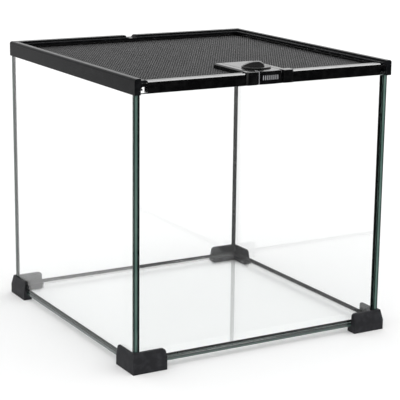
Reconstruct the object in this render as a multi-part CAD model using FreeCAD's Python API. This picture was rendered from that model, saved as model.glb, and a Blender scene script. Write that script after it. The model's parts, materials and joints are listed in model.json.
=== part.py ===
"""Glass pet tank, 30 cm cube, with a sliding mesh lid and a twist lock.

Millimetres. Origin: centre of the footprint, on the floor. +Z up, front (lock side) towards -Y,
+X to the right of a person who faces the front. The lid slides out towards -Y.
"""
import FreeCAD, Part
import math
import os

from FreeCAD import Vector

# ---- driving dimensions -------------------------------------------------------------------------
GLASS_W = 300.0          # outside width of the glass box, along X
GLASS_D = 300.0          # outside depth of the glass box, along Y
GLASS_T = 4.0            # pane thickness
GLASS_Z0 = 6.5           # underside of the base pane
PANE_TOP = 290.0         # top edge of the side and back panes
FRONT_PANE_TOP = 280.5   # the front pane is lower, so that the lid can slide out over it

FOOT_SIDE_PROUD = 3.6    # foot beyond the glass, sideways
FOOT_FRONT_PROUD = 7.0   # foot beyond the glass, front and back
FOOT_ARM = 38.3          # length of each arm of the L
FOOT_SHELF_IN = 6.0      # how far the foot reaches in under the base pane
FOOT_TOP = 21.4
FOOT_CREASE_Z = 9.5      # below it the outer faces are upright, above it they lean in
FOOT_LEAN_SIDE = 2.0
FOOT_LEAN_FRONT = 3.5
FOOT_TOP_RADIUS = 3.5
FOOT_EDGE_ROUND = 0.8

BEAD_FRONT = 4.0         # legs of the upright silicone beads along the front and back panes; hand
BEAD_BACK_LEFT = 1.6     # drawn, so each corner has its own width
BEAD_BACK_RIGHT = 5.0
BEAD_NARROW = 1.2        # their legs along the side panes
BASE_BEAD = 3.2          # both legs of the beads on the base pane
BEAD_HOLLOW = 0.12       # how far a tooled bead's face is dished, as a share of its width
BEAD_TOP_GAP = 1.0       # the front beads end this far below the front pane's top

RAIL_Z0 = 280.0
RAIL_TOP = 296.0
RAIL_FRONT_Y = -155.0
RAIL_SIDE_PROUD = 1.3    # side rail beyond the glass
RAIL_BACK_PROUD = 4.0    # back rail beyond the glass
RAIL_ROUND = 2.6         # rounding of the outer top edges
LEDGE_Z = 294.2          # top of the flange that overhangs the lid
LIP_IN = 5.7             # inner edge of the raised lip, from the glass's outer face
FLANGE_IN = 11.5         # inner edge of the flange
FLANGE_Z0 = 291.7        # underside of the flange
FLANGE_ROUND = 0.9
LEG_T = 1.3              # inner leg of the channel that grips the glass
GRIP_GAP = 0.1           # gap between glass and rail
SHELF_IN = 10.5          # inner edge of the shelf that carries the lid
SHELF_Z0 = 283.3
SHELF_TOP = 284.8
SHELF_FRONT_Y = -149.0
NOTCH_X = -2.0           # centre of the cable notch in the back rail
NOTCH_TOP_W = 14.0
NOTCH_FLOOR_W = 10.0
NOTCH_Z = 293.2

BAR_HALF = 137.1         # half length of the lid's front bar
BAR_FRONT_Y = -155.0
BAR_BACK_Y = -147.4
BAR_Z0 = 281.2
BAR_TOP = 293.3
BAR_BEVEL = 1.3
BAR_WALL = 1.4
PLUG_STEM = 12.0         # length of the end plug inside the bar
PLUG_SETBACK = 0.2       # its tab stands this far behind the bar's face
PLUG_TAB_Z0 = 287.7      # underside of the tab that runs in the rail's groove
RUNNER_OUT = 144.0       # outer face of the lid's side runners, from the centre
RUNNER_IN = 139.4
RUNNER_Z0 = 285.1
RUNNER_TOP = 291.3
RUNNER_ROUND = 0.5
REAR_BAR_Y0 = 139.4
REAR_BAR_Y1 = 143.6
MESH_TOP = 288.8
MESH_T = 0.8
MESH_GRIP = 1.5          # how far the mesh reaches into the runners

HOUSING_HALF = 23.5      # half width of the lock housing's raised cover
HOUSING_Y0 = -147.3
HOUSING_Y1 = -84.5
HOUSING_TOP = 294.0
HOUSING_STEP = 1.5       # the lower box is this much smaller, so the cover overlaps the mesh
HOUSING_WALL = 1.5
HOUSING_BEVEL = 1.2
GROOVE_X = 15.8          # the fine grooves in the cover, on both sides of the centre line
GROOVE_W = 0.7
GROOVE_DEPTH = 0.4
GROOVE_Y1 = -88.0
COVER_T = 1.0
FIT_GAP = 0.1            # gap between parts that are fastened to each other
POST_R = 3.0
SCREW_INSET = 4.6        # screw centres, in from the lower box's walls
SCREW_R = 1.3
SCREW_HOLE_GAP = 0.02
SCREW_HEAD_R = 2.5
SCREW_HEAD_T = 0.8
SCREW_LENGTH = 7.0
SCREW_SLOT = 3.2         # length of a screwdriver slot
SCREW_SLOT_W = 0.6
SCREW_SLOT_DEPTH = 0.4

CLIP_IN = 15.5           # lock clips on the front bar, from the centre line
CLIP_OUT = 27.6
CLIP_BEVEL = 1.5         # bevel of a clip's outer upright edge
CLIP_ROUND = 0.6
BADGE_HALF = 13.3
CAP_FRONT_Y = -157.0     # front face of the clips and the badge
CAP_TOP = 294.5
CAP_Z0 = 281.2
BADGE_BULGE = 0.9

KNOB_Y = -129.0
KNOB_R = 15.0
KNOB_Z0 = 294.4
KNOB_DISC_TOP = 295.8
KNOB_TOP = 300.6
DISC_ROUND = 0.5
GRIP_BACK = -14.2        # the grip slopes up from here, along its length from the dial's centre,
GRIP_PEAK = 2.0          # is highest here
GRIP_FRONT = 8.5         # and drops to the dial here
GRIP_HALF_W = 4.2
GRIP_ROUND = 0.6
GRIP_TURN = -30.0        # direction of the grip at rest, degrees from +X
SPINDLE_R = 3.0
SPINDLE_GAP = 0.08       # running clearance of the spindle in the housing
NECK_R = 2.0
CAM_R = 9.0
CAM_Z0 = 290.2
CAM_TOP = 292.2
CAM_SCREW_HEAD_R = 3.5
CAM_SCREW_HEAD_T = 1.0
CAM_SCREW_LENGTH = 4.5
CAM_SCREW_SLOT = 4.8
RAMP_IN = 5.0
RAMP_START = 0.1         # height of the ramp where it begins
RAMP_LEAD = 15           # degrees that the ramp runs on past each end of the bolt's travel
RAMP_STEP = 15           # degrees between the ramp's sections
QUARTER_TURN = 90
BOLT_TRAVEL = 5.0        # the bolt drops this far in a quarter turn
BOLT_HALF = 6.0
BOLT_Y0 = -144.6
BOLT_Y1 = -142.6
BOLT_TIP = 281.6
ARM_TOP = 289.0
ARM_T = 1.4
BOLT_BEVEL = 0.6
ARM_STEP_Y = -140.0
ARM_END_Y = -134.0
ARM_TIP_HALF = 1.2
BOLT_GAP = 0.4

CLEAR = 1.0              # a cutting block reaches this far past what it cuts
OVERLAP = 0.5            # blocks that are joined run this far into each other

# ---- values that follow from them ---------------------------------------------------------------
HALF_W = GLASS_W / 2
HALF_D = GLASS_D / 2
BASE_TOP = GLASS_Z0 + GLASS_T
RAIL_X = HALF_W + RAIL_SIDE_PROUD
RAIL_BACK_Y = HALF_D + RAIL_BACK_PROUD


def box(x0, x1, y0, y1, z0, z1):
    """An upright block between two corners."""
    return Part.makeBox(x1 - x0, y1 - y0, z1 - z0, Vector(x0, y0, z0))


def cylinder(x, y, z0, z1, radius):
    """An upright round bar."""
    return Part.makeCylinder(radius, z1 - z0, Vector(x, y, z0))


def wire(points):
    """A closed outline through points."""
    return Part.makePolygon([Vector(*p) for p in points] + [Vector(*points[0])])


def prism(points, direction):
    """A flat outline pushed along a direction."""
    return Part.Face(wire(points)).extrude(Vector(*direction))


def soften(shape, radius, chosen, bevel=False):
    """Rounds, or bevels, the edges whose middle point passes the test."""
    edges = [e for e in shape.Edges if chosen(e.valueAt((e.FirstParameter + e.LastParameter) / 2))]
    return shape.makeChamfer(radius, edges) if bevel else shape.makeFillet(radius, edges)


def near(a, b):
    """Whether two coordinates are the same."""
    return abs(a - b) < 1e-3


def mirror_x(shape):
    """The same shape on the other side, left for right."""
    return shape.mirror(Vector(0, 0, 0), Vector(1, 0, 0))


def mirror_y(shape):
    """The same shape at the other end, front for back."""
    return shape.mirror(Vector(0, 0, 0), Vector(0, 1, 0))


# ---- glass --------------------------------------------------------------------------------------
def panes():
    """Side panes run the full depth; the front and back panes stand between them on the base."""
    inner = HALF_W - GLASS_T
    return {
        "base_pane": box(-HALF_W, HALF_W, -HALF_D, HALF_D, GLASS_Z0, BASE_TOP),
        "left_pane": box(-HALF_W, -inner, -HALF_D, HALF_D, BASE_TOP, PANE_TOP),
        "right_pane": box(inner, HALF_W, -HALF_D, HALF_D, BASE_TOP, PANE_TOP),
        "front_pane": box(-inner, inner, -HALF_D, GLASS_T - HALF_D, BASE_TOP, FRONT_PANE_TOP),
        "back_pane": box(-inner, inner, HALF_D - GLASS_T, HALF_D, BASE_TOP, PANE_TOP),
    }


def bead_face(first_leg, second_leg, to_world):
    """A triangular bead section, dished in the middle of its open side; to_world places its two legs."""
    dish = 0.5 - BEAD_HOLLOW
    corners = ((0, 0), (first_leg, 0), (first_leg * dish, second_leg * dish), (0, second_leg))
    return Part.Face(wire([to_world(a, b) for a, b in corners]))


def corner_beads():
    """The upright silicone beads in the four inner corners, from the base beads up."""
    beads = {}
    inner_x, inner_y = HALF_W - GLASS_T, HALF_D - GLASS_T
    z0 = BASE_TOP + BASE_BEAD
    front_top = FRONT_PANE_TOP - BEAD_TOP_GAP
    for corner, sx, sy, width, top in (
        ("front_left", -1, -1, BEAD_FRONT, front_top), ("front_right", 1, -1, BEAD_FRONT, front_top),
        ("back_left", -1, 1, BEAD_BACK_LEFT, RAIL_Z0), ("back_right", 1, 1, BEAD_BACK_RIGHT, RAIL_Z0),
    ):
        face = bead_face(width, BEAD_NARROW,
                         lambda a, b: Vector(sx * (inner_x - a), sy * (inner_y - b), z0))
        beads[f"corner_bead_{corner}"] = face.extrude(Vector(0, 0, top - z0))
    return beads


def base_beads():
    """The silicone beads round the foot of the walls, the front and back ones between the sides."""
    inner_x, inner_y = HALF_W - GLASS_T, HALF_D - GLASS_T
    beads = {}
    for side, s in (("left", -1), ("right", 1)):
        face = bead_face(BASE_BEAD, BASE_BEAD,
                         lambda a, b: Vector(s * (inner_x - a), -inner_y, BASE_TOP + b))
        beads[f"base_bead_{side}"] = face.extrude(Vector(0, 2 * inner_y, 0))
    sides = beads["base_bead_left"].fuse(beads["base_bead_right"])
    for side, s in (("front", -1), ("back", 1)):
        face = bead_face(BASE_BEAD, BASE_BEAD,
                         lambda a, b: Vector(-inner_x, s * (inner_y - a), BASE_TOP + b))
        beads[f"base_bead_{side}"] = face.extrude(Vector(2 * inner_x, 0, 0)).cut(sides)
    return beads


# ---- feet ---------------------------------------------------------------------------------------
def front_left_foot():
    """An L-shaped corner foot: a shelf under the glass and a leaning skirt outside it."""
    x0, y0 = -HALF_W - FOOT_SIDE_PROUD, -HALF_D - FOOT_FRONT_PROUD
    x1, y1 = x0 + FOOT_ARM, y0 + FOOT_ARM
    lower = box(x0, x1, y0, y1, 0, FOOT_CREASE_Z)
    foot_line = [(x0, y0), (x1, y0), (x1, y1), (x0, y1)]
    xt, yt = x0 + FOOT_LEAN_SIDE, y0 + FOOT_LEAN_FRONT
    top_line = [(xt, yt), (x1, yt), (x1, y1), (xt, y1)]
    rings = [wire([(x, y, z) for x, y in line])
             for line, z in ((foot_line, FOOT_CREASE_Z), (top_line, FOOT_TOP))]
    upper = Part.makeLoft(rings, True, True)
    foot = lower.fuse(upper).removeSplitter()
    gap = GRIP_GAP
    shelf_x, shelf_y = -HALF_W + FOOT_SHELF_IN, -HALF_D + FOOT_SHELF_IN
    foot = foot.cut(box(-HALF_W - gap, 0, -HALF_D - gap, 0, GLASS_Z0, FOOT_TOP + CLEAR))
    foot = foot.cut(box(shelf_x, 0, shelf_y, 0, -CLEAR, GLASS_Z0 + CLEAR))
    foot = soften(foot, FOOT_TOP_RADIUS, lambda p: near(p.z, FOOT_TOP) and (near(p.x, x1) or near(p.y, y1)))
    return soften(foot, FOOT_EDGE_ROUND, lambda p: near(p.x, x0) and near(p.y, y0))


def feet():
    """The four corner feet, mirrored from one."""
    foot = front_left_foot()
    return {
        "foot_front_left": foot,
        "foot_front_right": mirror_x(foot),
        "foot_back_left": mirror_y(foot),
        "foot_back_right": mirror_y(mirror_x(foot)),
    }


# ---- top frame ----------------------------------------------------------------------------------
def rail_outline(proud):
    """The rail's section, as distances in from the glass's outer face and heights."""
    inner = GLASS_T + GRIP_GAP
    leg = inner + LEG_T
    return [
        (-proud, RAIL_Z0), (-proud, RAIL_TOP), (LIP_IN, RAIL_TOP), (LIP_IN, LEDGE_Z),
        (FLANGE_IN, LEDGE_Z), (FLANGE_IN, FLANGE_Z0), (leg, FLANGE_Z0), (leg, SHELF_TOP),
        (SHELF_IN, SHELF_TOP), (SHELF_IN, SHELF_Z0), (leg, SHELF_Z0), (leg, RAIL_Z0),
        (inner, RAIL_Z0), (inner, PANE_TOP + GRIP_GAP), (-GRIP_GAP, PANE_TOP + GRIP_GAP),
        (-GRIP_GAP, RAIL_Z0),
    ]


def frame_envelope():
    """The outside of the top frame, with its rounded top edges and back corners."""
    outside = box(-RAIL_X, RAIL_X, RAIL_FRONT_Y, RAIL_BACK_Y, RAIL_Z0, RAIL_TOP)

    def rounded(p):
        on_top = near(p.z, RAIL_TOP) and (near(abs(p.x), RAIL_X) or near(p.y, RAIL_BACK_Y))
        return on_top or (near(abs(p.x), RAIL_X) and near(p.y, RAIL_BACK_Y))

    return soften(outside, RAIL_ROUND, rounded)


def left_rail(envelope, glass):
    """The left rail, mitred at its back end and closed over the glass at its front end."""
    outline = [(u - HALF_W, RAIL_FRONT_Y, z) for u, z in rail_outline(RAIL_SIDE_PROUD)]
    rail = prism(outline, (0, RAIL_BACK_Y - RAIL_FRONT_Y, 0))
    closure = box(-RAIL_X, -HALF_W + GLASS_T + GRIP_GAP + LEG_T, RAIL_FRONT_Y, -HALF_D - GRIP_GAP,
                  RAIL_Z0, FLANGE_Z0)
    far = RAIL_BACK_Y + RAIL_X
    beyond_mitre = prism([(-far, far, 0), (0, 0, 0), (0, far, 0)], (0, 0, RAIL_TOP + CLEAR))
    shelf_front = box(-HALF_W + GLASS_T + LEG_T + GRIP_GAP, 0, RAIL_FRONT_Y, SHELF_FRONT_Y,
                      RAIL_Z0, SHELF_TOP + CLEAR)
    rail = soften(rail, FLANGE_ROUND, lambda p: near(p.z, LEDGE_Z) and near(p.x, FLANGE_IN - HALF_W))
    rail = rail.fuse(closure).removeSplitter()
    return rail.common(envelope).cut(beyond_mitre).cut(shelf_front).cut(glass)


def back_rail(envelope, glass):
    """The back rail, mitred at both ends, with a notch for a cable in its raised lip."""
    outline = [(-RAIL_X, HALF_D - u, z) for u, z in rail_outline(RAIL_BACK_PROUD)]
    rail = prism(outline, (2 * RAIL_X, 0, 0))
    rail = soften(rail, FLANGE_ROUND, lambda p: near(p.z, LEDGE_Z) and near(p.y, HALF_D - FLANGE_IN))
    far = RAIL_BACK_Y + RAIL_X
    within_mitres = prism([(-far, far, 0), (0, 0, 0), (far, far, 0)], (0, 0, RAIL_TOP + CLEAR))
    notch = prism([
        (NOTCH_X - NOTCH_TOP_W / 2, 0, RAIL_TOP), (NOTCH_X + NOTCH_TOP_W / 2, 0, RAIL_TOP),
        (NOTCH_X + NOTCH_FLOOR_W / 2, 0, NOTCH_Z), (NOTCH_X - NOTCH_FLOOR_W / 2, 0, NOTCH_Z),
    ], (0, RAIL_BACK_Y + CLEAR, 0))
    return rail.common(envelope).common(within_mitres).cut(notch).cut(glass)


def room_for_glass():
    """The space that the four walls' top edges need in the rails."""
    gap = GRIP_GAP
    inner = HALF_W - GLASS_T
    below = RAIL_Z0 - CLEAR
    room = box(-inner - gap, inner + gap, HALF_D - GLASS_T - gap, HALF_D + gap, below, PANE_TOP + gap)
    for x in (-HALF_W, inner):
        side = box(x - gap, x + GLASS_T + gap, -HALF_D - gap, HALF_D + gap, below, PANE_TOP + gap)
        room = room.fuse(side)
    front = box(-inner - gap, inner + gap, -HALF_D - gap, GLASS_T - HALF_D + gap,
                below, FRONT_PANE_TOP + gap)
    return room.fuse(front)


def rails():
    """The two side rails and the back rail that joins them."""
    envelope, glass = frame_envelope(), room_for_glass()
    left = left_rail(envelope, glass)
    return {"left_rail": left, "right_rail": mirror_x(left), "back_rail": back_rail(envelope, glass)}


# ---- lid frame ----------------------------------------------------------------------------------
def front_bar():
    """A hollow bar with a bevelled front top edge."""
    bar = box(-BAR_HALF, BAR_HALF, BAR_FRONT_Y, BAR_BACK_Y, BAR_Z0, BAR_TOP)
    bar = soften(bar, BAR_BEVEL, lambda p: near(p.y, BAR_FRONT_Y) and near(p.z, BAR_TOP), bevel=True)
    hollow = box(-BAR_HALF - CLEAR, BAR_HALF + CLEAR, BAR_FRONT_Y + BAR_WALL, BAR_BACK_Y - BAR_WALL,
                 BAR_Z0 + BAR_WALL, BAR_TOP - BAR_WALL)
    return bar.cut(hollow)


def bar_end_left():
    """The plug in the bar's left end, with the tab that runs in the rail's groove."""
    gap = FIT_GAP
    stem = box(-BAR_HALF, -BAR_HALF + PLUG_STEM, BAR_FRONT_Y + BAR_WALL + gap, BAR_BACK_Y - BAR_WALL - gap,
               BAR_Z0 + BAR_WALL + gap, BAR_TOP - BAR_WALL - gap)
    tab = box(-RUNNER_OUT, -BAR_HALF, BAR_FRONT_Y + PLUG_SETBACK, BAR_BACK_Y, PLUG_TAB_Z0, RUNNER_TOP)
    return stem.fuse(tab).removeSplitter()


def side_runner():
    """The lid's left side member, which slides in the rail's groove and grips the mesh."""
    runner = box(-RUNNER_OUT, -RUNNER_IN, BAR_BACK_Y, REAR_BAR_Y0, RUNNER_Z0, RUNNER_TOP)
    runner = soften(runner, RUNNER_ROUND, lambda p: near(p.x, -RUNNER_IN) and near(p.z, RUNNER_TOP))
    return runner.cut(mesh_blank())


def rear_bar():
    """The lid's back member, between the rails' grooves."""
    bar = box(-RUNNER_OUT, RUNNER_OUT, REAR_BAR_Y0, REAR_BAR_Y1, RUNNER_Z0, RUNNER_TOP)
    bar = soften(bar, RUNNER_ROUND, lambda p: near(p.y, REAR_BAR_Y0) and near(p.z, RUNNER_TOP))
    return bar.cut(mesh_blank())


def mesh_blank():
    """The whole mesh sheet, which the lid's members grip round its edges."""
    reach = RUNNER_IN + MESH_GRIP
    return box(-reach, reach, BAR_BACK_Y, REAR_BAR_Y0 + MESH_GRIP, MESH_TOP - MESH_T, MESH_TOP)


def mesh_screen():
    """The mesh sheet, with the cut-out that the lock housing drops into."""
    half = HOUSING_HALF - HOUSING_STEP + FIT_GAP
    far = HOUSING_Y1 - HOUSING_STEP + FIT_GAP
    cut_out = box(-half, half, BAR_BACK_Y - CLEAR, far, RUNNER_Z0, RUNNER_TOP)
    return mesh_blank().cut(cut_out)


# ---- lock ---------------------------------------------------------------------------------------
def screw_places():
    """The centres of the four screws in the housing's corners."""
    half = HOUSING_HALF - HOUSING_STEP - SCREW_INSET
    near_y, far_y = HOUSING_Y0 + SCREW_INSET, HOUSING_Y1 - HOUSING_STEP - SCREW_INSET
    return [(x, y) for x in (-half, half) for y in (near_y, far_y)]


def lock_housing():
    """A box open below: a bevelled cover on the mesh and a smaller box through it, with screw posts."""
    cover = box(-HOUSING_HALF, HOUSING_HALF, HOUSING_Y0, HOUSING_Y1, MESH_TOP + FIT_GAP, HOUSING_TOP)
    cover = soften(cover, HOUSING_BEVEL, bevel=True,
                   chosen=lambda p: near(p.z, HOUSING_TOP) and not near(p.y, HOUSING_Y0))
    for x in (-GROOVE_X, GROOVE_X):
        cover = cover.cut(box(x - GROOVE_W / 2, x + GROOVE_W / 2, HOUSING_Y0 - CLEAR, GROOVE_Y1,
                              HOUSING_TOP - GROOVE_DEPTH, HOUSING_TOP + CLEAR))
    half = HOUSING_HALF - HOUSING_STEP
    far = HOUSING_Y1 - HOUSING_STEP
    z0 = BAR_Z0 + COVER_T + FIT_GAP
    lower = box(-half, half, HOUSING_Y0, far, z0, MESH_TOP + FIT_GAP)
    wall = HOUSING_WALL
    roof = HOUSING_TOP - wall
    hollow = box(wall - half, half - wall, HOUSING_Y0 + wall, far - wall, z0 - CLEAR, roof)
    housing = cover.fuse(lower).cut(hollow)
    for x, y in screw_places():
        housing = housing.fuse(cylinder(x, y, z0, roof, POST_R).common(hollow))
    for x, y in screw_places():
        housing = housing.cut(cylinder(x, y, z0 - CLEAR, z0 + SCREW_LENGTH, SCREW_R + SCREW_HOLE_GAP))
    bore = cylinder(0, KNOB_Y, roof - CLEAR, HOUSING_TOP + CLEAR, SPINDLE_R + SPINDLE_GAP)
    return housing.cut(bore).removeSplitter()


def lock_cover():
    """The plate that closes the housing from below, with the slot that guides the bolt."""
    half = HOUSING_HALF - HOUSING_STEP
    plate = box(-half, half, HOUSING_Y0, HOUSING_Y1 - HOUSING_STEP, BAR_Z0, BAR_Z0 + COVER_T)
    for x, y in screw_places():
        plate = plate.cut(cylinder(x, y, BAR_Z0 - CLEAR, BAR_Z0 + COVER_T + CLEAR, SCREW_HEAD_R + FIT_GAP))
    slot = box(-BOLT_HALF - BOLT_GAP, BOLT_HALF + BOLT_GAP, BOLT_Y0 - BOLT_GAP, BOLT_Y1 + BOLT_GAP,
               BAR_Z0 - CLEAR, BAR_Z0 + COVER_T + CLEAR)
    return plate.cut(slot)


def lock_screws():
    """Four small screws that hold the cover plate to the housing's posts."""
    screws = []
    z0 = BAR_Z0 + FIT_GAP
    for x, y in screw_places():
        head = cylinder(x, y, z0, z0 + SCREW_HEAD_T, SCREW_HEAD_R)
        shank = cylinder(x, y, z0, BAR_Z0 + SCREW_LENGTH, SCREW_R)
        screws.append(head.fuse(shank).cut(driver_slot(x, y, z0, SCREW_SLOT)))
    return Part.makeCompound(screws)


def driver_slot(x, y, z0, length):
    """The block that cuts a screwdriver slot into a head whose face is at that height, from below."""
    half_l, half_w = length / 2, SCREW_SLOT_W / 2
    return box(x - half_l, x + half_l, y - half_w, y + half_w, z0 - CLEAR, z0 + SCREW_SLOT_DEPTH)


def bar_cap(x0, x1, front_y):
    """A cap that hooks over the front bar: a front plate and a top plate in one piece."""
    back_y = HOUSING_Y0 - FIT_GAP
    section = [(front_y, CAP_Z0), (BAR_FRONT_Y, CAP_Z0), (BAR_FRONT_Y, BAR_TOP), (back_y, BAR_TOP),
               (back_y, CAP_TOP), (front_y, CAP_TOP)]
    return prism([(x0, y, z) for y, z in section], (x1 - x0, 0, 0))


def right_clip():
    """A plain clip beside the badge, its outer upright edge bevelled."""
    clip = bar_cap(CLIP_IN, CLIP_OUT, CAP_FRONT_Y)
    clip = soften(clip, CLIP_BEVEL, lambda p: near(p.y, CAP_FRONT_Y) and near(p.x, CLIP_OUT), bevel=True)
    return soften(clip, CLIP_ROUND, lambda p: near(p.y, CAP_FRONT_Y) and near(p.z, CAP_TOP))


def badge():
    """The plain centre cap, with a face that swells forward."""
    front_y = CAP_FRONT_Y + BADGE_BULGE
    left, middle, right = (Vector(x, y, CAP_Z0) for x, y in
                           ((-BADGE_HALF, front_y), (0, CAP_FRONT_Y), (BADGE_HALF, front_y)))
    edges = [Part.Arc(left, middle, right).toShape(), Part.LineSegment(right, left).toShape()]
    swell = Part.Face(Part.Wire(edges)).extrude(Vector(0, 0, CAP_TOP - CAP_Z0))
    return bar_cap(-BADGE_HALF, BADGE_HALF, front_y).fuse(swell).removeSplitter()


def grip():
    """The knob's wedge-like grip before it is turned: two arcs that meet level at the peak."""
    rise = KNOB_TOP - KNOB_DISC_TOP
    peak = Vector(GRIP_PEAK, -GRIP_HALF_W, KNOB_TOP)
    arcs, feet_of_arcs = [], []
    for end in (GRIP_BACK, GRIP_FRONT):
        span = end - GRIP_PEAK
        radius = (span ** 2 + rise ** 2) / (2 * rise)
        turn = math.asin(span / radius) / 2
        halfway = peak + Vector(radius * math.sin(turn), 0, radius * (math.cos(turn) - 1))
        foot = peak + Vector(span, 0, -rise)
        arcs.append(Part.Arc(peak, halfway, foot).toShape())
        feet_of_arcs.append(foot)
    down = Vector(0, 0, -OVERLAP)
    back, front = feet_of_arcs
    base = Part.makePolygon([back, back + down, front + down, front])
    outline = Part.Wire(Part.sortEdges(arcs + base.Edges)[0])
    arch = Part.Face(outline).extrude(Vector(0, 2 * GRIP_HALF_W, 0))
    return soften(arch, GRIP_ROUND, lambda p: p.z > KNOB_DISC_TOP + OVERLAP and near(abs(p.y), GRIP_HALF_W))


def lock_knob():
    """A round dial with an arched grip across it, on a spindle."""
    disc = cylinder(0, KNOB_Y, KNOB_Z0, KNOB_DISC_TOP, KNOB_R)
    disc = soften(disc, DISC_ROUND, lambda p: near(p.z, KNOB_DISC_TOP))
    arch = grip()
    arch.rotate(Vector(0, 0, 0), Vector(0, 0, 1), GRIP_TURN)
    arch.translate(Vector(0, KNOB_Y, 0))
    spindle = cylinder(0, KNOB_Y, CAM_TOP, KNOB_Z0 + OVERLAP, SPINDLE_R)
    neck = cylinder(0, KNOB_Y, CAM_Z0, CAM_TOP, NECK_R)
    knob = disc.fuse(arch).fuse(spindle).fuse(neck).removeSplitter()
    return knob.cut(cylinder(0, KNOB_Y, CAM_Z0 - CLEAR, CAM_Z0 + CAM_SCREW_LENGTH + OVERLAP, SCREW_R / 2))


def ramp_section(degrees_back):
    """The ramp's upright section, that many degrees behind the bolt's arm."""
    turn = math.radians(-QUARTER_TURN - degrees_back)
    share = min(max(degrees_back / QUARTER_TURN, 0), 1)
    low, top = CAM_Z0 - RAMP_START - BOLT_TRAVEL * share, CAM_Z0 + OVERLAP
    corners = ((RAMP_IN, top), (CAM_R, top), (CAM_R, low), (RAMP_IN, low))
    return wire([(r * math.cos(turn), KNOB_Y + r * math.sin(turn), z) for r, z in corners])


def lock_cam():
    """The disc under the spindle, with a ramp that pushes the bolt down in a quarter turn."""
    disc = cylinder(0, KNOB_Y, CAM_Z0, CAM_TOP, CAM_R)
    disc = disc.cut(cylinder(0, KNOB_Y, CAM_Z0 - CLEAR, CAM_TOP + CLEAR, NECK_R))
    turns = range(-RAMP_LEAD, QUARTER_TURN + RAMP_LEAD + 1, RAMP_STEP)
    ramp = Part.makeLoft([ramp_section(d) for d in turns], True, True)
    return disc.fuse(ramp)


def cam_screw():
    """The screw that holds the cam on the spindle's neck."""
    face_z = CAM_Z0 - CAM_SCREW_HEAD_T
    head = cylinder(0, KNOB_Y, face_z, CAM_Z0, CAM_SCREW_HEAD_R)
    shank = cylinder(0, KNOB_Y, CAM_Z0, CAM_Z0 + CAM_SCREW_LENGTH, SCREW_R / 2)
    return head.fuse(shank).cut(driver_slot(0, KNOB_Y, face_z, CAM_SCREW_SLOT))


def lock_bolt():
    """The tongue that drops behind the front pane, and the arm that the cam pushes."""
    tongue = box(-BOLT_HALF, BOLT_HALF, BOLT_Y0, BOLT_Y1, BOLT_TIP, ARM_TOP)
    tongue = soften(tongue, BOLT_BEVEL, lambda p: near(p.z, BOLT_TIP) and near(p.y, BOLT_Y0), bevel=True)
    arm = box(-BOLT_HALF, BOLT_HALF, BOLT_Y1, ARM_STEP_Y, ARM_TOP - ARM_T, ARM_TOP)
    tip = box(-ARM_TIP_HALF, ARM_TIP_HALF, ARM_STEP_Y, ARM_END_Y, ARM_TOP - ARM_T, ARM_TOP)
    return tongue.fuse(arm).fuse(tip).removeSplitter()


def build():
    """Every sub-part by its node name."""
    nodes = {**panes(), **corner_beads(), **base_beads(), **feet(), **rails()}
    nodes["lid_front_bar"] = front_bar()
    nodes["bar_end_left"] = bar_end_left()
    nodes["bar_end_right"] = mirror_x(bar_end_left())
    nodes["lid_left_runner"] = side_runner()
    nodes["lid_right_runner"] = mirror_x(side_runner())
    nodes["lid_rear_bar"] = rear_bar()
    nodes["mesh_screen"] = mesh_screen()
    nodes["lock_housing"] = lock_housing()
    nodes["lock_cover"] = lock_cover()
    nodes["lock_screws"] = lock_screws()
    nodes["clip_left"] = mirror_x(right_clip())
    nodes["clip_right"] = right_clip()
    nodes["lock_badge"] = badge()
    nodes["lock_knob"] = lock_knob()
    nodes["lock_cam"] = lock_cam()
    nodes["cam_screw"] = cam_screw()
    nodes["lock_bolt"] = lock_bolt()
    return nodes


os.makedirs("parts", exist_ok=True)
for name, shape in build().items():
    shape.exportStep(f"parts/{name}.step")
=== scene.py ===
"""Looks of the glass tank, built round the CAD frame: panes, sealant, mouldings, mesh screen and lock."""

import json
import math

import bmesh
import bpy
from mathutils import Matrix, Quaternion, Vector


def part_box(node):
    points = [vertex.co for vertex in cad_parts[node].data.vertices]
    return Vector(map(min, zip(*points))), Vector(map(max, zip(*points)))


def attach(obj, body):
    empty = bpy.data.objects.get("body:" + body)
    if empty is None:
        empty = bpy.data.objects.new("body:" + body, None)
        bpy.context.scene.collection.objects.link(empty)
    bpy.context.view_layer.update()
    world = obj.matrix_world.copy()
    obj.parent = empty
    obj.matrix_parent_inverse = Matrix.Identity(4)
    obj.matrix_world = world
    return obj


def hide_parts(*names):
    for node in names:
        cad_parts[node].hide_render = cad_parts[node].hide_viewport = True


MM = 0.001

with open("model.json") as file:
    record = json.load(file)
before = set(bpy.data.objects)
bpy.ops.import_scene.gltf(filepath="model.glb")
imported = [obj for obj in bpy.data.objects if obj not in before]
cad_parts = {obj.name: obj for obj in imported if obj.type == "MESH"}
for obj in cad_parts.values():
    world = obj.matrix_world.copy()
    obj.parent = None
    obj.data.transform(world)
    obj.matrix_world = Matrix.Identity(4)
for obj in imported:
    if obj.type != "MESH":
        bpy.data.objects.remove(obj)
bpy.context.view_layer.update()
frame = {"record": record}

BODY_OF = {node: body for body, nodes in frame["record"]["behaviour"]["bodies"].items() for node in nodes}


# ---------------------------------------------------------------- node helpers

def graph(name):
    """A new material with its node tree and its Principled shader."""
    material = bpy.data.materials.new(name)
    material.use_nodes = True
    tree = material.node_tree
    return material, tree, tree.nodes["Principled BSDF"]


def add(tree, kind, inputs=None, **settings):
    """A node with its settings, and its inputs given as values or as sockets to link from."""
    node = tree.nodes.new(kind)
    for key, value in settings.items():
        setattr(node, key, value)
    for key, value in (inputs or {}).items():
        if isinstance(value, bpy.types.NodeSocket):
            tree.links.new(value, node.inputs[key])
        else:
            node.inputs[key].default_value = value
    return node


def place_of(tree):
    """The shaded point in the frame the CAD is drawn in, in metres."""
    return add(tree, "ShaderNodeTexCoord").outputs["Object"]


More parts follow.
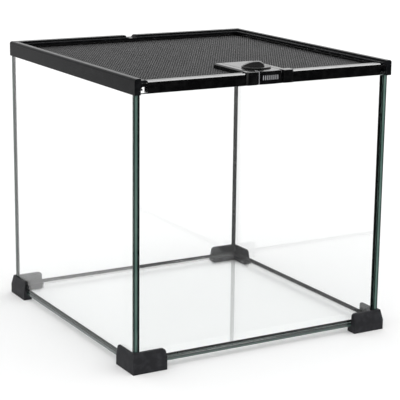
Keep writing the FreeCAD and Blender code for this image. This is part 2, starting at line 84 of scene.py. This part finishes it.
def parts_of(tree, vector):
    """The X, Y and Z sockets of a vector."""
    return add(tree, "ShaderNodeSeparateXYZ", {"Vector": vector}).outputs


def noise(tree, scale, detail=2.0):
    """A noise value around 0.5. The scale is in features per metre."""
    settings = {"Vector": place_of(tree), "Scale": scale, "Detail": detail}
    return add(tree, "ShaderNodeTexNoise", settings).outputs["Fac"]


def spread(tree, value, low, high, start=0.3, end=0.7):
    """A value between start and end, spread out between low and high."""
    settings = {"Value": value, "From Min": start, "From Max": end, "To Min": low, "To Max": high}
    return add(tree, "ShaderNodeMapRange", settings).outputs["Result"]


def combined(tree, operation, *values):
    """The result of a math node."""
    return add(tree, "ShaderNodeMath", dict(enumerate(values)), operation=operation).outputs[0]


def between(tree, value, low, high):
    """One where a value lies between two limits, elsewhere nought."""
    return combined(tree, "COMPARE", value, (low + high) / 2, (high - low) / 2)


def tones(tree, value, *stops):
    """A colour ramp of (position, colour) stops."""
    node = add(tree, "ShaderNodeValToRGB", {"Fac": value})
    ramp = node.color_ramp
    while len(ramp.elements) < len(stops):
        ramp.elements.new(0.5)
    for element, (position, colour) in zip(ramp.elements, stops):
        element.position = position
        element.color = (*colour, 1)
    return node.outputs["Color"]


def mottled(tree, value, dark, light):
    """A colour that drifts between two tones with a noise value."""
    return tones(tree, value, (0.3, dark), (0.7, light))


def mixed_colour(tree, share, first, second):
    """The first colour where the share is nought, the second where it is one."""
    settings = {"Factor": share, "A": first, "B": second}
    return add(tree, "ShaderNodeMix", settings, data_type="RGBA").outputs["Result"]


def bump(tree, height, depth):
    """A bumped normal from a height in 0..1 that stands for that depth in metres, at half strength."""
    settings = {"Height": height, "Distance": depth, "Strength": 0.5}
    return add(tree, "ShaderNodeBump", settings).outputs["Normal"]


def wear_and_sheen_mark(tree):
    """The mesh's own edge attribute: one on the rubbed bevel faces of the mouldings and on the upward tops
    of the screen's strands, which take a painted highlight; nought elsewhere.
    """
    return add(tree, "ShaderNodeAttribute", attribute_name="edge").outputs["Fac"]


def times(colour, factor):
    """A colour made that many times as bright."""
    return tuple(c * factor for c in colour)


# ---------------------------------------------------------------- plastics

GRAIN_DEPTH = 0.01 * MM
RUBBED_GAIN, RUBBED_LIFT = 1.8, 0.006


def plastic(name, colour, rough, shine, ior=1.5):
    """Moulded plastic: a fine grain, slow changes of tone and gloss, and paler rubbed edges."""
    material, tree, shader = graph(name)
    body = mottled(tree, noise(tree, 22, 3), times(colour, 0.95), times(colour, 1.06))
    patchy = spread(tree, noise(tree, 140, 3), 0, 0.5, 0.45, 0.7)
    wear_and_sheen = combined(tree, "MULTIPLY", wear_and_sheen_mark(tree), patchy)
    pale = tuple(c * RUBBED_GAIN + RUBBED_LIFT for c in colour)
    tree.links.new(mixed_colour(tree, wear_and_sheen, body, (*pale, 1)), shader.inputs["Base Color"])
    tree.links.new(spread(tree, noise(tree, 90, 3), rough - 0.02, rough + 0.03), shader.inputs["Roughness"])
    tree.links.new(bump(tree, noise(tree, 1500), GRAIN_DEPTH), shader.inputs["Normal"])
    shader.inputs["Specular IOR Level"].default_value = shine
    shader.inputs["IOR"].default_value = ior
    return material


LOCK_LOOK = ((0.003, 0.003, 0.0032), 0.14, 0.5)
BAR_PITCH = 2.4 * MM
BAR_SHARE = (0.25, 0.75)
BARS_X = (-9.6 * MM, 9.6 * MM)
BARS_Z = (285.6 * MM, 290.2 * MM)
# A thin pale strip at the badge's left edge: a painted highlight of its rounded edge.
EDGE_HIGHLIGHT_X = (-13.4 * MM, -12.7 * MM)
PALE_PRINT_AND_HIGHLIGHT = (0.25, 0.25, 0.26, 1)


def badge_plastic():
    """The lock's black plastic with a row of plain pale bars, and a pale line along its left edge that is a
    painted highlight.
    """
    material = plastic("badge_plastic", *LOCK_LOOK)
    tree = material.node_tree
    base = tree.nodes["Principled BSDF"].inputs["Base Color"]
    black = base.links[0].from_socket
    place = parts_of(tree, place_of(tree))
    share = combined(tree, "FRACT", combined(tree, "DIVIDE", place["X"], BAR_PITCH))
    bars = between(tree, share, *BAR_SHARE)
    for value, limits in ((place["X"], BARS_X), (place["Z"], BARS_Z)):
        bars = combined(tree, "MULTIPLY", bars, between(tree, value, *limits))
    # The printed bars and the painted highlight at the left edge share one pale colour.
    print_and_highlight = combined(tree, "MAXIMUM", bars, between(tree, place["X"], *EDGE_HIGHLIGHT_X))
    tree.links.new(mixed_colour(tree, print_and_highlight, black, PALE_PRINT_AND_HIGHLIGHT), base)
    return material


# ---------------------------------------------------------------- glass and sealant

def clear_glass():
    """Float glass with a faint green tint, wiped but not spotless. Light and shade pass it straight."""
    material, tree, shader = graph("clear_glass")
    shader.inputs["Base Color"].default_value = (0.994, 0.998, 0.997, 1)
    shader.inputs["Specular IOR Level"].default_value = 0.1
    shader.inputs["Transmission Weight"].default_value = 1.0
    shader.inputs["IOR"].default_value = 1.43
    smears = spread(tree, noise(tree, 7, 4), 0.0, 0.012, 0.45, 0.75)
    tree.links.new(smears, shader.inputs["Roughness"])
    path = add(tree, "ShaderNodeLightPath").outputs
    light = combined(tree, "MAXIMUM", path["Is Shadow Ray"], path["Is Diffuse Ray"])
    straight = add(tree, "ShaderNodeBsdfTransparent", {"Color": (0.975, 0.98, 0.979, 1)})
    surface = add(tree, "ShaderNodeMixShader", {0: light, 1: shader.outputs[0], 2: straight.outputs[0]})
    tree.links.new(surface.outputs[0], tree.nodes["Material Output"].inputs["Surface"])
    return material


# Where the upright rims turn from the paler inner half, which is painted light, to the dark outer half.
RIM_TURN_X = (148 * MM, 148.6 * MM)
BASE_RIM_Z = (6.5 * MM, 10.5 * MM)
BASE_TOP_Z = 10.55 * MM


def edge_glass():
    """A pane's rim, the deep green of glass seen along its length.

    The upright rims get painted light on their inner half, which is paler. The base pane's rim is painted
    light at its foot and gets darker upwards, a painted gradient of light and shade.
    """
    material, tree, shader = graph("edge_glass")
    place = place_of(tree)
    from_middle = add(tree, "ShaderNodeVectorMath", {0: place}, operation="ABSOLUTE").outputs["Vector"]
    far = parts_of(tree, from_middle)
    patchy = noise(tree, 45, 3)
    # The paler inner tone is painted light.
    inner_painted_light = mottled(tree, patchy, (0.075, 0.135, 0.115), (0.11, 0.18, 0.155))
    outer = mottled(tree, patchy, (0.02, 0.036, 0.032), (0.035, 0.055, 0.05))
    upright = mixed_colour(tree, spread(tree, far["X"], 0, 1, *RIM_TURN_X), inner_painted_light, outer)
    up = spread(tree, far["Z"], 0, 1, *BASE_RIM_Z)
    # Base rim: painted light, bright at its foot and fading to dark at its top.
    base = tones(tree, up, (0.1, (0.07, 0.1, 0.09)), (0.55, (0.03, 0.05, 0.045)),
                 (0.95, (0.006, 0.01, 0.009)))
    green = mixed_colour(tree, between(tree, far["Z"], 0.0, BASE_TOP_Z), upright, base)
    tree.links.new(green, shader.inputs["Base Color"])
    tree.links.new(spread(tree, noise(tree, 300), 0.12, 0.25), shader.inputs["Roughness"])
    shader.inputs["Coat Weight"].default_value = 0.6
    return material


def glue():
    """The black sealant film between two panes."""
    material, tree, shader = graph("glue")
    tone = mottled(tree, noise(tree, 80), (0.004, 0.005, 0.005), (0.012, 0.014, 0.013))
    tree.links.new(tone, shader.inputs["Base Color"])
    shader.inputs["Roughness"].default_value = 0.4
    return material


SEALANT_WAVE = 0.1 * MM


def silicone():
    """Black sealant: glossy, a little wavy where it was drawn off by hand."""
    material, tree, shader = graph("silicone")
    tone = mottled(tree, noise(tree, 60), (0.005, 0.006, 0.006), (0.011, 0.012, 0.012))
    tree.links.new(tone, shader.inputs["Base Color"])
    tree.links.new(spread(tree, noise(tree, 150), 0.25, 0.4), shader.inputs["Roughness"])
    tree.links.new(bump(tree, noise(tree, 130), SEALANT_WAVE), shader.inputs["Normal"])
    shader.inputs["Specular IOR Level"].default_value = 0.4
    return material


# ---------------------------------------------------------------- metals and floor

def coated_steel():
    """Black powder coat on the expanded metal, with a painted highlight on the tops of the strands."""
    material, tree, shader = graph("coated_steel")
    # Upward strand tops get a much paler tone: a painted highlight.
    wear_and_sheen = combined(tree, "MULTIPLY", wear_and_sheen_mark(tree), spread(tree, noise(tree, 30, 3), 0.85, 1.0))
    tone = tones(tree, wear_and_sheen, (0.0, (0.004, 0.004, 0.0042)), (1.0, (0.11, 0.11, 0.112)))
    tree.links.new(tone, shader.inputs["Base Color"])
    tree.links.new(spread(tree, noise(tree, 500), 0.42, 0.5), shader.inputs["Roughness"])
    shader.inputs["Specular IOR Level"].default_value = 0.2
    shader.inputs["IOR"].default_value = 1.3
    return material


def steel():
    """Zinc-plated screw steel."""
    material, tree, shader = graph("screw_steel")
    tone = mottled(tree, noise(tree, 900, 3), (0.42, 0.42, 0.4), (0.6, 0.6, 0.58))
    tree.links.new(tone, shader.inputs["Base Color"])
    tree.links.new(spread(tree, noise(tree, 1200), 0.25, 0.42), shader.inputs["Roughness"])
    shader.inputs["Metallic"].default_value = 1.0
    return material


def pale_floor():
    """Plain white studio board with no gloss."""
    material, tree, shader = graph("pale_floor")
    tone = mottled(tree, noise(tree, 1.5), (0.955, 0.955, 0.955), (0.97, 0.97, 0.97))
    tree.links.new(tone, shader.inputs["Base Color"])
    shader.inputs["Roughness"].default_value = 0.6
    shader.inputs["Specular IOR Level"].default_value = 0
    return material


def black_card():
    """Black card with no gloss."""
    material, tree, shader = graph("flag")
    tone = tones(tree, noise(tree, 3), (0, (0, 0, 0)), (1, (0.004, 0.004, 0.004)))
    tree.links.new(tone, shader.inputs["Base Color"])
    shader.inputs["Specular IOR Level"].default_value = 0
    return material


CLEAR, RIM, GLUE = clear_glass(), edge_glass(), glue()
SILICONE, SCREEN, STEEL = silicone(), coated_steel(), steel()
FOOT_PLASTIC = plastic("foot_plastic", (0.022, 0.0222, 0.0245), 0.4, 0.15, ior=1.25)
RAIL_PLASTIC = plastic("rail_plastic", (0.004, 0.0043, 0.005), 0.2, 0.15, ior=1.25)
LID_PLASTIC = plastic("lid_plastic", (0.002, 0.002, 0.0022), 0.14, 0.5)
LOCK_PLASTIC = plastic("lock_plastic", *LOCK_LOOK)
BADGE_PLASTIC = badge_plastic()
KNOB_PLASTIC = plastic("knob_plastic", (0.005, 0.0053, 0.005), 0.25, 0.4)


# ---------------------------------------------------------------- mesh helpers

SAME_POINT = 0.001 * MM
FLAT = math.radians(0.5)
SHARP = math.radians(30)
EDGE_STEPS = 2


def object_of(name, mesh):
    """A new object in the scene for a mesh or for other data."""
    obj = bpy.data.objects.new(name, mesh)
    bpy.context.scene.collection.objects.link(obj)
    return obj


def mesh_of(name, bm, materials):
    """A mesh with its materials. The bmesh it is made from is freed."""
    mesh = bpy.data.meshes.new(name)
    bm.to_mesh(mesh)
    bm.free()
    for material in materials:
        mesh.materials.append(material)
    return mesh


def piece(name, bm, materials, node, smooth=40):
    """A finished mesh object that stands for a CAD node and rides on the node's body.

    Edges that turn by more than the given angle in degrees are shaded sharp, the others smooth.
    """
    mesh = mesh_of(name, bm, materials)
    mesh.shade_smooth()
    mesh.set_sharp_from_angle(angle=math.radians(smooth))
    obj = object_of(name, mesh)
    obj.modifiers.new("flat_faces_stay_flat", "WEIGHTED_NORMAL").keep_sharp = True
    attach(obj, BODY_OF[node])
    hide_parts(node)


def solid_of(node):
    """The CAD node's shape as a clean mesh with flat faces whole."""
    bm = bmesh.new()
    bm.from_mesh(bpy.data.objects[node].data)
    bmesh.ops.remove_doubles(bm, verts=bm.verts, dist=SAME_POINT)
    bmesh.ops.dissolve_limit(bm, angle_limit=FLAT, verts=bm.verts, edges=bm.edges)
    return bm


def soften(bm, width):
    """Rounds every sharp edge by a small width, and marks the new faces with the edge attribute."""
    corners = [e for e in bm.edges if e.is_manifold and e.calc_face_angle() > SHARP]
    old = set(bm.faces)
    bmesh.ops.bevel(bm, geom=corners, offset=width, segments=EDGE_STEPS, profile=0.5,
                    affect="EDGES", clamp_overlap=True)
    layer = bm.faces.layers.float.new("edge")
    for face in bm.faces:
        face[layer] = 0.0 if face in old else 1.0
    return bm


def moulding(node, material, width):
    """A moulded CAD part with softened edges."""
    piece(f"{node}_moulding", soften(solid_of(node), width), [material], node)


# ---------------------------------------------------------------- panes and beads

ARRIS = 0.35 * MM
STRAIGHT = 0.99
X, Y, Z = range(3)
FACE_SLOT, RIM_SLOT, GLUE_SLOT = range(3)


def pane(node, across, glued=()):
    """A glass pane with its ground arris.

    The two faces across the given axis are clear. Glued sides carry black sealant, the others a green rim.
    """
    low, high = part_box(node)
    bm = bmesh.new()
    bmesh.ops.create_cube(bm, size=1.0)
    centre, size = (low + high) / 2, high - low
    for vert in bm.verts:
        vert.co = Vector(c + v * s for c, v, s in zip(centre, vert.co, size))
    bmesh.ops.bevel(bm, geom=bm.edges[:], offset=ARRIS, segments=1, affect="EDGES")
    for face in bm.faces:
        normal = face.normal
        side = max(range(3), key=lambda i: abs(normal[i]))
        straight = abs(normal[side]) > STRAIGHT
        name = ("+" if normal[side] > 0 else "-") + "xyz"[side]
        if straight and side == across:
            face.material_index = FACE_SLOT
        elif straight and name in glued:
            face.material_index = GLUE_SLOT
        else:
            face.material_index = RIM_SLOT
    piece(f"{node}_glass", bm, [CLEAR, RIM, GLUE], node, smooth=10)


def glass():
    """The five panes. Every wall stands on the base, and the front and back stand between the sides."""
    pane("base_pane", Z)
    pane("left_pane", X, {"-z"})
    pane("right_pane", X, {"-z"})
    pane("front_pane", Y, {"-x", "+x", "-z"})
    pane("back_pane", Y, {"-x", "+x", "-z"})


def sealant():
    """The CAD's dished beads, with the sealant's own look."""
    for node in (n for n in BODY_OF if "bead" in n):
        piece(f"{node}_sealant", solid_of(node), [SILICONE], node)


# ---------------------------------------------------------------- expanded-metal screen

STRAND_WIDTH = 0.5 * MM
STRAND_DEPTH = 0.72 * MM
STRAND_TILT = math.radians(8)
DIAMOND = (2.85 * MM, 4.6 * MM)
LOCK_LAP = 1.4 * MM
FACES_UP = 0.9


def strand(verts, faces, left, right, ys, z):
    """One zigzag strand with a tilted four-sided section, closed at both ends."""
    c, s = math.cos(STRAND_TILT), math.sin(STRAND_TILT)
    half = [(-1, -1), (1, -1), (1, 1), (-1, 1)]
    section = [((a * STRAND_WIDTH * c - b * STRAND_DEPTH * s) / 2,
                (a * STRAND_WIDTH * s + b * STRAND_DEPTH * c) / 2) for a, b in half]
    first = len(verts)
    for row, y in ys:
        x = left if row % 2 else right
        verts.extend((x + dx, y, z + dz) for dx, dz in section)
    last = len(ys) - 1
    faces.append(tuple(first + i for i in range(4)))
    for n in range(last):
        a = first + 4 * n
        faces.extend((a + i, a + 4 + i, a + 4 + (i + 1) % 4, a + (i + 1) % 4) for i in range(4))
    faces.append(tuple(first + 4 * last + 3 - i for i in range(4)))


def screen():
    """The sheet of diamonds in two halves, with the cut-out that the lock sits in and laps a little."""
    low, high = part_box("mesh_screen")
    _, lock_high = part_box("lock_housing")
    half = (high.x - low.x) / 2
    columns = round(half / (DIAMOND[0] / 2))
    pitch = half / columns
    rows = round((high.y - low.y) / (DIAMOND[1] / 2))
    step = (high.y - low.y) / rows
    reach = lock_high.x - LOCK_LAP
    stop = lock_high.y - LOCK_LAP
    z = (low.z + high.z) / 2
    for side, first in (("left", -columns), ("right", 0)):
        verts, faces = [], []
        for column in range(first, first + columns):
            left = column * pitch + STRAND_WIDTH / 2
            right = (column + 1) * pitch - STRAND_WIDTH / 2
            if column % 2:
                left, right = right, left
            cut = abs(column + 0.5) * pitch < reach
            ys = [(row, low.y + row * step) for row in range(rows + 1)]
            ys = [(row, y) for row, y in ys if not cut or y > stop]
            strand(verts, faces, left, right, ys, z)
        mesh = bpy.data.meshes.new("sheet")
        mesh.from_pydata(verts, [], faces)
        bm = bmesh.new()
        bm.from_mesh(mesh)
        bmesh.ops.recalc_face_normals(bm, faces=bm.faces)
        # Upward faces are marked for the painted highlight on the strand tops.
        layer = bm.faces.layers.float.new("edge")
        for face in bm.faces:
            face[layer] = 1.0 if face.normal.z > FACES_UP else 0.0
        piece(f"mesh_screen_{side}", bm, [SCREEN], "mesh_screen", smooth=30)


# ---------------------------------------------------------------- mouldings

FOOT_EDGE = 0.5 * MM
PART_EDGE = 0.3 * MM
SCREW_EDGE = 0.15 * MM


def feet():
    """The four corner feet."""
    for node in (n for n in BODY_OF if n.startswith("foot_")):
        moulding(node, FOOT_PLASTIC, FOOT_EDGE)


def rails():
    """The top frame that the lid slides in."""
    for node in ("left_rail", "right_rail", "back_rail"):
        moulding(node, RAIL_PLASTIC, PART_EDGE)


def lid():
    """The lid's own frame round the screen."""
    for node in ("lid_front_bar", "bar_end_left", "bar_end_right", "lid_left_runner", "lid_right_runner",
                 "lid_rear_bar"):
        moulding(node, LID_PLASTIC, PART_EDGE)


def lock():
    """The twist lock: housing, clips and badge, then what turns and drops, then the screws."""
    for node in ("lock_housing", "lock_cover", "clip_left", "clip_right"):
        moulding(node, LOCK_PLASTIC, PART_EDGE)
    moulding("lock_badge", BADGE_PLASTIC, PART_EDGE)
    for node in ("lock_knob", "lock_cam", "lock_bolt"):
        moulding(node, KNOB_PLASTIC, PART_EDGE)
    for node in ("lock_screws", "cam_screw"):
        moulding(node, STEEL, SCREW_EDGE)


# ---------------------------------------------------------------- camera

CAMERA_PLACE = Vector((-0.7572, -1.3312, 0.5022))
CAMERA_TARGET = Vector((0.0056, -0.009, 0.1295))
CAMERA_ROLL = math.radians(0.676)
CAMERA_LENS = 127.2
SENSOR = 36.0


def camera():
    """The photo's camera, fitted to the corners of the tank."""
    data = bpy.data.cameras.new("camera")
    data.lens, data.sensor_width = CAMERA_LENS, SENSOR
    data.clip_start, data.clip_end = 0.05, 50
    obj = object_of("camera", data)
    aim = (CAMERA_TARGET - CAMERA_PLACE).to_track_quat("-Z", "Y")
    obj.rotation_mode = "QUATERNION"
    obj.rotation_quaternion = aim @ Quaternion((0, 0, 1), CAMERA_ROLL)
    obj.location = CAMERA_PLACE
    bpy.context.scene.camera = obj


# ---------------------------------------------------------------- studio

TANK_MIDDLE = Vector((0, 0, 0.15))
PANEL_PLACE = Vector((1.26, -0.62, 2.48))
PANEL_SIZE = 0.94
PANEL_BRIGHTNESS = 12
CARD_SIZE = 3
CARD_PLACE = (1.4, -3.2, 0.002)
CARD_TOP_Y, CARD_TOP_Z = -1.6, 2.4
FLOOR_SIZE = 15
BACK_LEFT = (-0.6, 0.8, 0.0)
LIGHT_IN_FRONT, LIGHT_BEHIND = 1.32, 1.02


def soft_panel():
    """A square panel high on the front right, seen only as a highlight in glossy surfaces."""
    data = bpy.data.lights.new("overhead", "AREA")
    data.shape, data.size = "SQUARE", PANEL_SIZE
    data.energy = PANEL_BRIGHTNESS * math.pi * PANEL_SIZE ** 2
    obj = object_of("overhead", data)
    obj.location = PANEL_PLACE
    obj.rotation_euler = (TANK_MIDDLE - PANEL_PLACE).to_track_quat("-Z", "Y").to_euler()
    obj.visible_diffuse = False


def floor():
    """A wide white floor."""
    bm = bmesh.new()
    bmesh.ops.create_grid(bm, x_segments=8, y_segments=8, size=FLOOR_SIZE)
    object_of("floor", mesh_of("floor", bm, [pale_floor()]))


def flag():
    """A black card that only reflections see. It lies before the tank and stands up behind the camera."""
    bm = bmesh.new()
    bmesh.ops.create_grid(bm, x_segments=4, y_segments=4, size=CARD_SIZE)
    for vert in (v for v in bm.verts if v.co.y < CARD_TOP_Y):
        vert.co.y, vert.co.z = CARD_TOP_Y, CARD_TOP_Z
    obj = object_of("flag", mesh_of("flag", bm, [black_card()]))
    obj.location = CARD_PLACE
    obj.visible_camera = obj.visible_diffuse = obj.visible_transmission = obj.visible_shadow = False


def studio():
    """White light from all round, brightest from the front right and dimmest from the back left."""
    scene = bpy.context.scene
    world = bpy.data.worlds.new("studio")
    world.use_nodes = True
    tree = world.node_tree
    place = add(tree, "ShaderNodeTexCoord").outputs["Generated"]
    facing = add(tree, "ShaderNodeVectorMath", {0: place, 1: BACK_LEFT}, operation="DOT_PRODUCT")
    level = spread(tree, facing.outputs["Value"], LIGHT_IN_FRONT, LIGHT_BEHIND, -1, 1)
    background = tree.nodes["Background"]
    background.inputs["Color"].default_value = (1, 1, 1, 1)
    tree.links.new(level, background.inputs["Strength"])
    scene.world = world
    soft_panel()
    scene.view_settings.view_transform = "Standard"
    floor()
    flag()


glass()
sealant()
screen()
feet()
rails()
lid()
lock()
studio()
camera()
